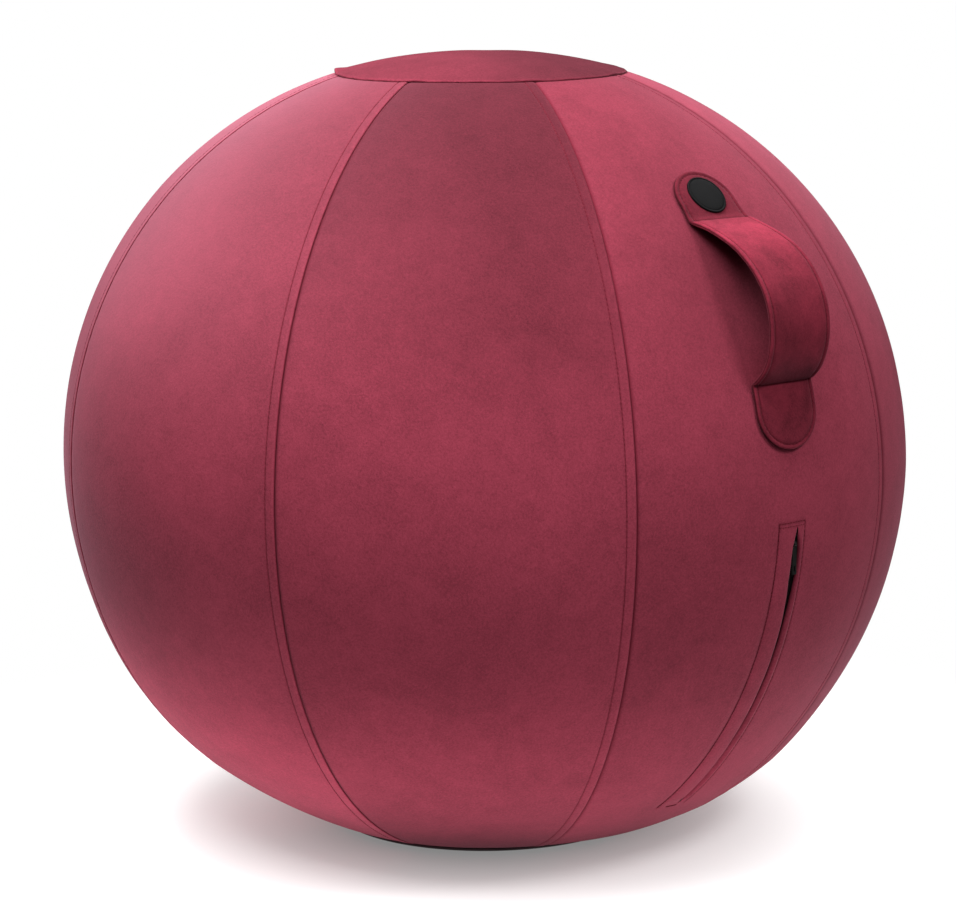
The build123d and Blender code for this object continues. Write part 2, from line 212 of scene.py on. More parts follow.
def cover_swell(phi, z):
    """The soft ball stands a little uneven: fuller low on one side, slacker above it. mm."""
    phi = np.asarray(phi, float); z = np.asarray(z, float)
    right, left = np.interp(z, BULGE_Z, BULGE_R), np.interp(z, BULGE_Z, BULGE_L)
    low = smooth01((z - 0.0) / 14.0)
    small = 0.3 * np.sin(3 * phi + 0.7) * np.sin((z - 100) / 130.0) + 0.2 * np.sin(5 * phi + 2.0 + z / 140.0)
    return low * (right * gauss_az(phi, np.interp(z, [0, 40, 110, 200], [30, 38, 52, 58]), 36.0) + left * gauss_az(phi, 229.0, 36.0)) + small * low


def nap_and_light_tone(k, z):
    low, mid, top = NAP_AND_LIGHT[k]
    return low + (mid - low) * smooth01((z - 80.0) / 270.0) + (top - mid) * smooth01((z - 310.0) / 270.0)


# patches of painted light and shade, partly the nap lying lighter or darker: a darker ring about 200 to 240 mm up and
# the darkening next to the floor are painted shade, lighter patches on the left side are painted light. Columns: gore,
# azimuth, height, spread in degrees and mm, change
LIGHT_AND_NAP_PATCHES = [
    (7, -33.0, 440.0, 14.0, 95.0, -0.23), (7, -63.0, 430.0, 9.0, 95.0, 0.06), (7, -48.0, 205.0, 28.0, 46.0, -0.10),
    (7, -45.0, 8.0, 42.0, 60.0, -0.48), (6, -84.0, 15.0, 20.0, 30.0, -0.15), (0, -6.0, 15.0, 20.0, 35.0, -0.22), (0, -9.0, 455.0, 15.0, 75.0, -0.24), (0, 14.0, 300.0, 8.0, 60.0, 0.05),
    (0, -2.0, 195.0, 24.0, 50.0, -0.12), (6, -100.0, 440.0, 10.0, 90.0, 0.08), (6, -76.0, 330.0, 9.0, 70.0, 0.06),
    (6, -90.0, 235.0, 27.0, 50.0, -0.13), (5, -128.0, 240.0, 26.0, 45.0, -0.10), (1, 50.0, 420.0, 12.0, 70.0, -0.06),
    (2, 96.0, 380.0, 10.0, 80.0, -0.12), (3, 140.0, 260.0, 12.0, 70.0, 0.10), (4, 176.0, 420.0, 10.0, 80.0, 0.10),
    (4, 188.0, 230.0, 10.0, 60.0, -0.10), (2, 84.0, 210.0, 14.0, 50.0, -0.10),
    (6, -106.0, 420.0, 18.0, 95.0, 0.14), (6, -102.0, 122.0, 22.0, 55.0, 0.20), (6, -114.0, 150.0, 13.0, 50.0, 0.34),
    (6, -80.0, 552.0, 16.0, 45.0, -0.15), (7, -62.0, 105.0, 12.0, 40.0, 0.11), (7, -33.0, 305.0, 12.0, 55.0, 0.07),
]


def painted_sheen(phi, z):
    """Share of painted sheen, a lighter pink painted high on two sides of the ball."""
    return 0.40 * gauss_az(phi, -137.0, 48.0) * smooth01((z - 300.0) / 180.0) + 0.13 * gauss_az(phi, 49.0, 30.0) * smooth01((z - 480.0) / 90.0)


def patch_light_and_nap(k, phi, z):
    out = np.ones(np.broadcast(phi, z).shape)
    for g, az, hz, wa, wz, amount in LIGHT_AND_NAP_PATCHES:
        if g == k:
            out = out + amount * gauss_az(phi, az, wa) * np.exp(-((z - hz) / wz) ** 2)
    return out


def under_edge(phi, r, z):
    """Distance outside the edge of the cap (top) or the base panel (bottom)."""
    top = np.hypot(r * np.cos(phi) - CAP_X, r * np.sin(phi) - CAP_Y) - CAP_R
    return np.where(z > EQ_Z, top, r - BASE_R)


def half_gap(s):
    """Half the gap between the folded edges of the zip opening."""
    t = np.asarray(s, float) - SLIT0
    end = SLIT1 - SLIT0
    x = [-1, 0, 1, 4, 9, 14, 18, 40, 54, 72, 100, end - 6, end - 2.5, end, end + 1]
    y = [0, 0, 0.5, 1.2, 2.7, 3.8, 4.3, 4.3, 3.4, 2.6, 2.4, 2.3, 1.2, 0, 0]
    return np.interp(t, x, y)


def gap_weight(s):
    return smooth01((s - SLIT0) / 12.0) * smooth01((SLIT1 - s) / 12.0)


# columns beside each stitch row, distance outside it
SIDE_D = [20.8, 14.8, 10.8, 7.8, 5.8, 4.3, 3.2, 2.4, 1.7, 1.2, 0.8, 0.4, 0.0, -0.4, -0.8, -1.3]
# folded edge on either side of the gap: share of the way from the stitch row to the edge, height
FLAP_L = [(0.08, 0.22), (0.15, 0.4), (0.3, 0.66), (0.45, 0.8), (0.6, 0.86), (0.75, 0.84), (0.87, 0.76), (0.95, 0.6), (1.0, 0.35)]
ROLL_L = [(-0.1, 0.05), (-0.12, -0.45), (0.0, -0.9), (0.35, -1.25), (1.2, -1.45), (4.0, -1.55), (8.0, -1.6)]
FLAP_R = [(0.12, 0.2), (0.25, 0.45), (0.38, 0.55), (0.5, 0.45), (0.6, 0.2), (0.7, -0.12), (0.79, -0.52), (0.87, -0.95), (0.94, -1.45), (1.0, -1.9)]
ROLL_R = [(-0.05, -2.35), (0.1, -2.75), (0.5, -3.05), (1.6, -3.15), (4.5, -3.22), (8.0, -3.0)]


def common_heights(s, r, z, a, h, kind, k):
    """Small relief that all gores share: stitch row beside the seam, puckers, dip under cap and base."""
    needle = np.abs(np.cos(PI * ((s / STITCH) % 1.0))) ** 6          # 1 at each needle hole
    d_band = (r * HALF)[:, None] - a
    band = (kind == 3)[None]
    dim = np.exp(-((d_band - STITCH_D) / 0.6) ** 2)
    h = h + np.where(band, -0.26 * dim * needle[:, None], 0)
    h = h + np.where(band & (d_band > 0.5) & (d_band < 7), 0.09 * wave(s, 11 + k, 24.0)[:, None], 0)
    h = h + np.where((kind == 0)[None], 0.1 * wave(s, 51 + k, 18.0)[:, None], 0)
    phi = k * PI / 4 + a / r[:, None]
    e = under_edge(phi, r[:, None], z[:, None])
    h = h + cover_swell(phi, z[:, None]) - 0.35 * np.exp(-np.clip(e, 0, None) / 1.5) * (e > -6) - 0.9 * smooth01((-e) / 4.0)
    h = np.where((kind == 5)[None], h, np.maximum(h, -2.55))         # the bladder lies 2.8 mm below the face of the cloth
    # painted shade in the seam grooves and on the gore just outside the edges of cap and base; at the stitch holes
    # partly the holes themselves
    groove_shade = np.zeros_like(h)
    groove_shade = np.maximum(groove_shade, np.where(band, np.exp(-(np.clip(d_band, 0, None) / (1.9 if k == 0 else 0.5)) ** 2), 0))
    plain_d = np.where((kind == 0)[None], a + (r * HALF)[:, None], 99.0)
    groove_shade = np.maximum(groove_shade, np.exp(-(np.clip(plain_d, 0, None) / (4.4 if k == 1 else 1.7)) ** 2))
    groove_shade = np.maximum(groove_shade, np.where(band, dim * (0.2 + 0.65 * needle[:, None]) * (0.5 if k == 0 else 1.0), 0))
    groove_shade = np.maximum(groove_shade, 0.45 * np.exp(-(np.clip(e, 0, None) / 0.9) ** 2))
    # painted highlight along the rolled ridge of the turned edge
    ridge_highlight = np.where(band, np.exp(-((d_band - 1.3) / 1.0) ** 2), 0)
    return h, phi, groove_shade, ridge_highlight


def place(r, z, nr, nz, phi, h):
    q = r[:, None] + h * nr[:, None]
    return np.stack([q * np.cos(phi), q * np.sin(phi), z[:, None] + h * nz[:, None]], -1)


def build_gore(k):
    s = np.arange(0.0, LEN + 0.01, STITCH / 2)
    r, z, nr, nz = merid(s)
    edge = r * HALF
    a, h, kind = [], [], []
    for d, q in PLAIN:
        a.append(-(edge - d)); h.append(q); kind.append(0)
    lo, hi = -(edge - PLAIN[-1, 0]), edge - BAND[-1, 0]
    for t in np.linspace(0, 1, 27)[1:-1]:
        a.append(lo + t * (hi - lo)); h.append(0.0); kind.append(1)
    for d, q in BAND[::-1]:
        a.append(edge - d); h.append(q); kind.append(3)
    a, kind = np.array(a).T, np.array(kind)
    h = np.repeat(np.array(h)[None], len(s), 0)
    h, phi, groove_shade, ridge_highlight = common_heights(s, r, z, a, h, kind, k)
    v = place(r, z, nr, nz, phi, h)
    # painted light and shade on the gore, partly the nap
    light_and_nap_tone = nap_and_light_tone(k, z)[:, None] * patch_light_and_nap(k, phi, z[:, None])
    ob = make(gore_names[k] + "_cloth", v.reshape(-1, 3), grid_faces(*a.shape),
              {"groove_shade": groove_shade.ravel(), "light_and_nap_tone": light_and_nap_tone.ravel(), "ridge_highlight": ridge_highlight.ravel(), "painted_sheen_share": painted_sheen(phi, z[:, None]).ravel()})
    wide = r * 2 * HALF
    return ob, float(np.sum((wide[1:] + wide[:-1]) / 2 * np.diff(s))) * MM * MM


def build_zip_gore():
    """Gore with the slit of the zip: the cloth is folded in along both sides of the gap and topstitched round it."""
    s = np.arange(0.0, LEN + 0.01, STITCH / 2)
    s = np.sort(np.r_[s, SLIT0, SLIT0 + 0.6, SLIT0 + 1.2, SLIT1 - 1.2, SLIT1 - 0.6, SLIT1])
    s = s[np.r_[True, np.diff(s) > 0.2]]
    i0, i1 = np.searchsorted(s, SLIT0 - 0.01), np.searchsorted(s, SLIT1 - 0.01)
    s[i0], s[i1] = SLIT0, SLIT1
    r, z, nr, nz = merid(s)
    edge = r * HALF
    mid = r * ZIP_AZ
    sc = np.minimum(1.0, (edge - 20.0) / 36.0)
    gap, w = half_gap(s), gap_weight(s)
    needle = np.abs(np.cos(PI * (((s - S_TOP) / 3.2) % 1.0))) ** 6
    box_rows = smooth01((s - BARS[0] + 0.6) / 0.8) * smooth01((S_BOT + 3 - s) / 2.0)
    bars = np.exp(-((s - BARS[0]) / 0.7) ** 2) + np.exp(-((s - BARS[1]) / 0.7) ** 2)
    halves = []
    for sgn in (-1, 1):
        flap, roll = (FLAP_L, ROLL_L) if sgn < 0 else (FLAP_R, ROLL_R)
        a, h, kind = [], [], []
        far = PLAIN if sgn < 0 else BAND
        for d, q in (PLAIN if sgn < 0 else BAND):
            a.append(sgn * (edge - d)); h.append(np.full(len(s), q)); kind.append(0 if sgn < 0 else 3)
        bx = BOX[sgn]
        start, stop = sgn * (edge - far[-1, 0]), mid + sgn * (bx + SIDE_D[0]) * sc
        for t in np.linspace(0, 1, 9)[1:-1]:
            a.append(start + t * (stop - start)); h.append(np.zeros(len(s))); kind.append(1)
        for q in SIDE_D:
            a.append(mid + sgn * (bx + q) * sc)
            dim = math.exp(-(q / 0.6) ** 2)
            hh = -0.25 * dim * box_rows - 0.25 * dim * needle * box_rows
            hh = hh - (0.5 * math.exp(-((q - 0.8) / 2.8) ** 2) * box_rows if sgn < 0 else 0)
            hh = hh - (0.22 * bars if q < 0.7 else 0)
            hh = hh + (0.0 if sgn < 0 else 0.03) * math.exp(-((q - 3.8) / 3.0) ** 2) * box_rows
            h.append(hh); kind.append(2)
        for u, q in flap:
            a.append(mid + sgn * (bx + SIDE_D[-1] + u * (gap - bx - SIDE_D[-1])) * sc)
            h.append(q * w - 0.22 * bars + 0.12 * wave(s, 71 + sgn, 55.0) * w * (q > 0)); kind.append(4)
        for da, q in roll:
            a.append(mid + sgn * (gap + da * w)); h.append(q * np.maximum(w, 0.15)); kind.append(5)
        a, h, kind = np.array(a).T, np.array(h).T, np.array(kind)
        if sgn > 0:
            a, h, kind = a[:, ::-1], h[:, ::-1], kind[::-1]
        h, phi, groove_shade, ridge_highlight = common_heights(s, r, z, a, h, kind, 0)
        lat = np.abs(a - mid[:, None])
        zc = ((kind == 2) | (kind == 4))[None]
        # painted shade along the box stitch rows and the bars, partly the needle holes
        groove_shade = np.maximum(groove_shade, np.where(zc, np.exp(-((lat - bx) / 0.75) ** 2) * (0.40 + 0.4 * needle[:, None]) * box_rows[:, None], 0))
        groove_shade = np.maximum(groove_shade, np.where(zc & (lat < bx + 0.5), 0.45 * np.clip(bars, 0, 1)[:, None], 0))
        # painted shade inside the gap, on the folded-under cloth
        groove_shade = np.maximum(groove_shade, np.where((kind == 5)[None], w[:, None], 0))
        if sgn < 0:
            # painted highlight on the fold of the left flap
            ridge_highlight = np.maximum(ridge_highlight, np.where((kind == 4)[None], np.exp(-((lat - gap[:, None] - 0.5) / 0.7) ** 2) * w[:, None], 0))
        else:
            # painted shade down the right flap's slope into the gap
            low = np.clip((-0.2 - h) / 2.2, 0, 1) * (kind == 4)[None] * w[:, None]
            groove_shade = np.maximum(groove_shade, low)
        halves.append((a, h, kind, phi, groove_shade, ridge_highlight))
    V, G, C, F = [], [], [], []
    base = 0
    merge = {}
    for n, (a, h, kind, phi, groove_shade, ridge_highlight) in enumerate(halves):
        R, Cn = a.shape
        V.append(place(r, z, nr, nz, phi, h).reshape(-1, 3))
        G.append(groove_shade.ravel()); C.append(ridge_highlight.ravel())
        rolled = kind == 5
        cf = rolled[:-1] | rolled[1:]
        rf = (np.arange(R - 1) >= i0) & (np.arange(R - 1) < i1)
        keep = ~(cf[None, :] & ~rf[:, None])
        F.append(grid_faces(R, Cn, keep=keep) + base)
        lip = np.where(kind == 4)[0][-1 if n == 0 else 0]
        merge[n] = base + np.arange(R) * Cn + lip
        base += R * Cn
    F = np.concatenate(F)
    join = np.arange(base)
    shut = (np.arange(len(s)) <= i0) | (np.arange(len(s)) >= i1)
    join[merge[1][shut]] = merge[0][shut]
    F = join[F]
    V, G, C = np.concatenate(V), np.concatenate(G), np.concatenate(C)
    used = np.unique(F)
    remap = -np.ones(base, int)
    remap[used] = np.arange(len(used))
    V = V[used]
    # painted light and shade on the zip gore, partly the nap
    ob = make(gore_names[0] + "_cloth", V, remap[F], {"groove_shade": G[used], "light_and_nap_tone": nap_and_light_tone(0, V[:, 2]) * patch_light_and_nap(0, np.arctan2(V[:, 1], V[:, 0]), V[:, 2]), "ridge_highlight": C[used],
                                                "painted_sheen_share": painted_sheen(np.arctan2(V[:, 1], V[:, 0]), V[:, 2])})
    wide = r * 2 * HALF
    return ob, float(np.sum((wide[1:] + wide[:-1]) / 2 * np.diff(s))) * MM * MM


gores = []
for k in range(8):
    ob, cut = build_zip_gore() if k == 0 else build_gore(k)
    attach(ob, "ball")
    if k == 0:
        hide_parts("cover_gore_zip", "zip_welt_left", "zip_welt_right")
    else:
        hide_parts(gore_names[k])
    gores.append(ob)

# topstitch along every gore seam
sets = []
s = np.arange(STITCH * 0.5, LEN - 2, STITCH)
for k in range(8):
    r, z, nr, nz = merid(s)
    phi = k * PI / 4 + HALF - STITCH_D / r
    ok = under_edge(phi, r, z) > 0.8
    hh = np.maximum(-0.1 + cover_swell(phi, z), -2.4)
    p = np.stack([(r + hh * nr) * np.cos(phi), (r + hh * nr) * np.sin(phi), z + hh * nz], -1)
    n = np.stack([nr * np.cos(phi), nr * np.sin(phi), nz], -1)
    t = np.stack([nz * np.cos(phi), nz * np.sin(phi), -nr], -1)
    sets.append((p[ok], t[ok], n[ok]))
seam_thread = stitch_mesh("seam_topstitch", sets, rad=0.24)
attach(seam_thread, "ball")


# ------------------------------------------------------------------ top cap
def polar(rings, seg, put):
    """Disc mesh: rings is a list of radii and heights, first one at the middle."""
    ph = np.arange(seg) * 2 * PI / seg
    v = [put(np.array([0.0]), np.array([0.0]), rings[0][1])]
    for rr, hh in rings[1:]:
        v.append(put(np.full(seg, rr), ph, hh))
    vv = np.concatenate(v)
    f = grid_faces(len(rings) - 1, seg, wrap=True) + 1
    j = np.arange(seg)
    tri = np.stack([np.zeros(seg, int), 1 + j, 1 + (j + 1) % seg], -1)
    return vv, [tri, f]


CAP_EDGE = [(-16.5, 1.05), (-12.5, 1.08), (-9.5, 1.12), (-7, 1.15), (-5, 1.18), (-3.4, 1.2), (-2.2, 1.18), (-1.3, 1.1),
            (-0.6, 0.95), (0.0, 0.7), (0.3, 0.35), (0.35, 0.0), (0.1, -0.4), (-0.6, -0.7), (-2.0, -0.9), (-5.0, -0.95)]
cap_rings = [(0.0, 0.9)] + [(x, 0.9 + 0.15 * (x / 92) ** 2) for x in np.linspace(2.5, 91, 46)] + [(CAP_R + d, h) for d, h in CAP_EDGE]
CAP_SEG = 480


def cap_lift(al):
    """The sewn edge rides up over the seam allowances and stands off a little on one side."""
    seams = sum(gauss_az(al, 22.5 + 45 * q, 4.5) for q in range(8))
    return 0.45 * seams + 0.3 * gauss_az(al, 42.0, 22.0) + 3.0 * gauss_az(al, 231.0, 5.5)


def cap_put(rr, al, h):
    edge = np.clip((rr - 98) / 12, 0, 1)
    rim = rr + edge * 0.3 * wave(al * CAP_R, 79, 40.0)
    x, y = CAP_X + rim * np.cos(al), CAP_Y + rim * np.sin(al)
    r, ph = np.hypot(x, y), np.arctan2(y, x)
    ang = np.arccos(np.clip((r - ARC_OFF) / ARC_R, -1, 1))
    flat = r < ARC_OFF
    z = np.where(flat, EQ_Z + ARC_R, EQ_Z + ARC_R * np.sin(ang))
    nr = np.where(flat, 0, np.cos(ang)); nz = np.where(flat, 1, np.sin(ang))
    h = h + edge * np.clip((h + 0.7) / 1.4, 0, 1) * (0.16 * wave(al * CAP_R, 77, 30.0) + 0.08 * wave(al * CAP_R, 78, 11.0) + cap_lift(al))
    h = h + cover_swell(ph, z) * np.clip(r / 60.0, 0, 1)
    return np.stack([(r + h * nr) * np.cos(ph), (r + h * nr) * np.sin(ph), z + h * nz], -1)


vv, ff = polar(cap_rings, CAP_SEG, cap_put)
rr_all = np.concatenate([[0.0]] + [np.full(CAP_SEG, x) for x, _ in cap_rings[1:]])
hh_all = np.concatenate([[0.9]] + [np.full(CAP_SEG, x) for _, x in cap_rings[1:]])
# painted shade under the cap's turned edge
cap_edge_shade = np.where((rr_all > CAP_R - 3) & (hh_all < 0.5), 0.7 * np.clip((0.3 - hh_all) / 0.6, 0, 1), 0)
# painted highlight along the top of the cap's edge
cap_edge_highlight = np.where(hh_all > 0.3, 3.2 * np.exp(-((rr_all - CAP_R + 0.6) / 1.0) ** 2), 0)
# painted light and shade: the cap lighter on its left and darker on its right as the camera sees it
cap_side_shade = 0.54 - 0.17 * np.tanh((vv[:, 0] * 0.656 + vv[:, 1] * 0.755) / 60.0)
top_cap = make("top_cap_cloth", vv, ff, {"groove_shade": cap_edge_shade, "light_and_nap_tone": cap_side_shade, "ridge_highlight": cap_edge_highlight})
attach(top_cap, "ball")
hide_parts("top_cap")

# ------------------------------------------------------------------ base panel: coated cloth with small raised dots
BASE_EDGE = [(112, 0.9), (115, 0.5), (117.5, 0.1), (119.2, -0.1), (120.4, 0.15), (121.0, 0.6), (121.3, 1.2), (121.2, 1.9), (120.6, 2.4), (118, 2.6)]
base_rings = [(0.0, 0.7)] + [(x, 0.7) for x in np.linspace(4, 109, 36)] + BASE_EDGE


def base_put(rr, ph, h):
    ang = -np.arccos(np.clip((rr - FOOT_C) / (FOOT_R + BASE_T), -1, 1))
    flat = rr < FOOT_C
    z = np.where(flat, 0.0, FOOT_Z + (FOOT_R + BASE_T) * np.sin(ang))
    nr = np.where(flat, 0, -np.cos(ang)); nz = np.where(flat, 1, -np.sin(ang))
    return np.stack([(rr + h * nr) * np.cos(ph), (rr + h * nr) * np.sin(ph), z + h * nz], -1)


vv, ff = polar(base_rings, 240, base_put)
base = make("base_cloth", vv, [f[:, ::-1] for f in ff])
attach(base, "ball")
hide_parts("base_panel")

pitch = 9.0
prof = [(0.0, 0.0), (0.9, 0.03), (1.35, 0.18), (1.6, 0.5), (1.65, 0.9)]
seg = 12
one_v = [(0, 0, 0.0)] + [(q * math.cos(2 * PI * i / seg), q * math.sin(2 * PI * i / seg), h) for q, h in prof[1:] for i in range(seg)]
one_v = np.array(one_v)
one_f = grid_faces(len(prof) - 1, seg, wrap=True, flip=True) + 1
one_t = np.array([(0, 1 + (i + 1) % seg, 1 + i) for i in range(seg)])
centres = []
for i in range(-16, 17):
    for j in range(-16, 17):
        cx, cy = pitch * (i + 0.5 * (j % 2)), pitch * 0.8660254 * j
        if math.hypot(cx, cy) < 108:
            centres.append((cx, cy))
centres = np.array(centres)
cr = np.hypot(centres[:, 0], centres[:, 1]); cp = np.arctan2(centres[:, 1], centres[:, 0])
o = base_put(cr, cp, 0.0)
ang = -np.arccos(np.clip((cr - FOOT_C) / (FOOT_R + BASE_T), -1, 1))
tilt = np.where(cr < FOOT_C, 0.0, ang + PI / 2)
er = np.stack([np.cos(cp) * np.cos(tilt), np.sin(cp) * np.cos(tilt), np.sin(tilt)], -1)
ep = np.stack([-np.sin(cp), np.cos(cp), np.zeros_like(cp)], -1)
en = np.cross(er, ep)
dv = o[:, None] + er[:, None] * one_v[None, :, :1] + ep[:, None] * one_v[None, :, 1:2] + en[:, None] * one_v[None, :, 2:3]
off = (np.arange(len(centres)) * len(one_v))[:, None, None]
dots = make("base_dots", dv.reshape(-1, 3), [(one_f[None] + off).reshape(-1, 4), (one_t[None] + off).reshape(-1, 3)])
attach(dots, "ball")

# stitch row round the base panel
n_st = int(2 * PI * 114 / STITCH)
ph = (np.arange(n_st) + 0.5) * 2 * PI / n_st
a0 = -np.arccos((114.5 - FOOT_C) / (FOOT_R + BASE_T))
base_thread = stitch_mesh("base_stitch", [(
    base_put(np.full(n_st, 114.5), ph, 0.55),
    np.stack([-np.sin(ph), np.cos(ph), np.zeros(n_st)], -1),
    np.stack([np.cos(ph) * math.cos(a0), np.sin(ph) * math.cos(a0), np.full(n_st, math.sin(a0))], -1),
)])
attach(base_thread, "ball")

# ------------------------------------------------------------------ carry strap
STRAP_W = 56.0
MID = np.array([
    (258.1, 194.2), (281.5, 187.0), (303.5, 176.5), (318.5, 163.0), (328.8, 145.5),
    (332.6, 128.0), (331.8, 112.0), (326.5, 96.5), (317.2, 84.2),
])


def cubic(points, per):
    """Natural cubic through the points by chord length, sampled about every per mm."""
    q = np.r_[0, np.cumsum(np.linalg.norm(np.diff(points, axis=0), axis=1))]
    n = len(q)
    h = np.diff(q)
    A = np.zeros((n, n)); A[0, 0] = A[-1, -1] = 1
    B = np.zeros((n, 2))
    for i in range(1, n - 1):
        A[i, i - 1], A[i, i], A[i, i + 1] = h[i - 1], 2 * (h[i - 1] + h[i]), h[i]
        B[i] = 6 * ((points[i + 1] - points[i]) / h[i] - (points[i] - points[i - 1]) / h[i - 1])
    M = np.linalg.solve(A, B)
    x = np.arange(0, q[-1], per)
    i = np.clip(np.searchsorted(q, x, side="right") - 1, 0, n - 2)
    t0, t1 = (q[i + 1] - x)[:, None], (x - q[i])[:, None]
    hh = h[i][:, None]
    return M[i] * t0 ** 3 / (6 * hh) + M[i + 1] * t1 ** 3 / (6 * hh) + (points[i] / hh - M[i] * hh / 6) * t0 + (points[i + 1] / hh - M[i + 1] * hh / 6) * t1


LIFT = 2.0                                     # middle of the strap above the cover, at the tabs
UP_TIP, UP_FOLD, LO_FOLD, LO_TIP = 47.3, 39.6, 15.7, 6.7
up = np.radians(np.arange(UP_TIP, UP_FOLD, -0.15))
lo = np.radians(np.arange(LO_FOLD, LO_TIP, -0.15))
tab_u = np.stack([ARC_OFF + (ARC_R + LIFT) * np.cos(up), (ARC_R + LIFT) * np.sin(up)], -1)
tab_l = np.stack([ARC_OFF + (ARC_R + LIFT) * np.cos(lo), (ARC_R + LIFT) * np.sin(lo)], -1)
path = np.concatenate([tab_u, cubic(MID, 0.8)[2:-2], tab_l])
q = np.r_[0, np.cumsum(np.linalg.norm(np.diff(path, axis=0), axis=1))]
L_STRAP = q[-1]
N_PATH = 600
qs = np.linspace(0, L_STRAP, N_PATH)
px, pz = np.interp(qs, q, path[:, 0]), np.interp(qs, q, path[:, 1])


def soften(x, sig):
    n = int(4 * sig)
    k = np.exp(-0.5 * (np.arange(-n, n + 1) / sig) ** 2)
    k /= k.sum()
    ext = np.r_[2 * x[0] - x[n:0:-1], x, 2 * x[-1] - x[-2:-n - 2:-1]]
    return np.convolve(ext, k, "valid")


sig = 1.2 / (L_STRAP / N_PATH)
px, pz = soften(px, sig), soften(pz, sig)
tx, tz = np.gradient(px), np.gradient(pz)
tl = np.hypot(tx, tz); tx, tz = tx / tl, tz / tl
nx, nzz = -tz, tx                               # outward
q_uf = float(np.interp(len(tab_u), np.arange(len(q)), q))
q_lf = float(np.interp(len(path) - len(tab_l), np.arange(len(q)), q))


def strap_map(S, Y, H):
    """Flat strap coordinates (along, across, height off the middle) to the row frame, mm."""
    x, zc = np.interp(S, qs, px), np.interp(S, qs, pz)
    ax, az = np.interp(S, qs, nx), np.interp(S, qs, nzz)
    on = smooth01(np.maximum((q_uf + 14 - S) / 16, (S - q_lf + 14) / 16))
    # sewn on slightly askew, and a little narrower at its upper end
    Y = Y * (0.965 + 0.085 * smooth01((S - q_uf + 5) / 60)) - 3.4 + 5.4 * smooth01((S - q_uf - 10) / (q_lf - q_uf - 10))
    beta = np.arcsin(np.clip(Y / np.maximum(x, 1), -1, 1))
    x0 = x + (x * np.cos(beta) - x) * on
    y0 = Y + (x * np.sin(beta) - Y) * on
    cb, sb = 1 + (np.cos(beta) - 1) * on, np.sin(beta) * on
    # the loop itself sags a hair between its stitched edges
    H = H - (1 - on) * 0.7 * np.cos(PI * np.clip(Y / STRAP_W, -0.5, 0.5)) ** 2
    H = H + cover_swell(beta, zc + EQ_Z) * on
    return np.stack([x0 + H * ax * cb, y0 + H * ax * sb, zc + EQ_Z + H * az], -1)


R_END = STRAP_W / 2
# rings from the middle of the face over the edge to the middle of the lining: (distance from the edge, height)
RING = [(27.4, 1.95), (25, 1.95), (21, 1.95), (18, 1.93), (15, 1.9), (12, 1.86), (9.5, 1.82), (7.5, 1.78), (6.0, 1.72), (5.0, 1.6), (4.4, 1.42),
        (3.9, 1.2), (3.5, 1.1), (3.1, 1.22), (2.6, 1.5), (2.0, 1.72), (1.4, 1.76), (0.8, 1.6), (0.35, 1.25), (0.08, 0.8), (0.02, 0.45), (0.22, 0.15), (0.4, 0.0)]
RING = RING + [(d, -h) for d, h in RING[-2::-1]]
EDGE_ST = 3.5
straight = L_STRAP - 2 * R_END
n_side = int(straight / 1.6)
n_arc = 40


def strap_loop(d):
    """Closed outline at distance d inside the strap's edge: S and Y."""
    rad = R_END - d
    side = np.linspace(R_END, L_STRAP - R_END, n_side + 1)
    a = np.linspace(0, PI, n_arc + 1)[1:-1]
    S = np.concatenate([side, L_STRAP - R_END + rad * np.sin(a), side[::-1], R_END - rad * np.sin(a)])
    Y = np.concatenate([np.full(n_side + 1, rad), rad * np.cos(a), np.full(n_side + 1, -rad), -rad * np.cos(a)])
    return S, Y


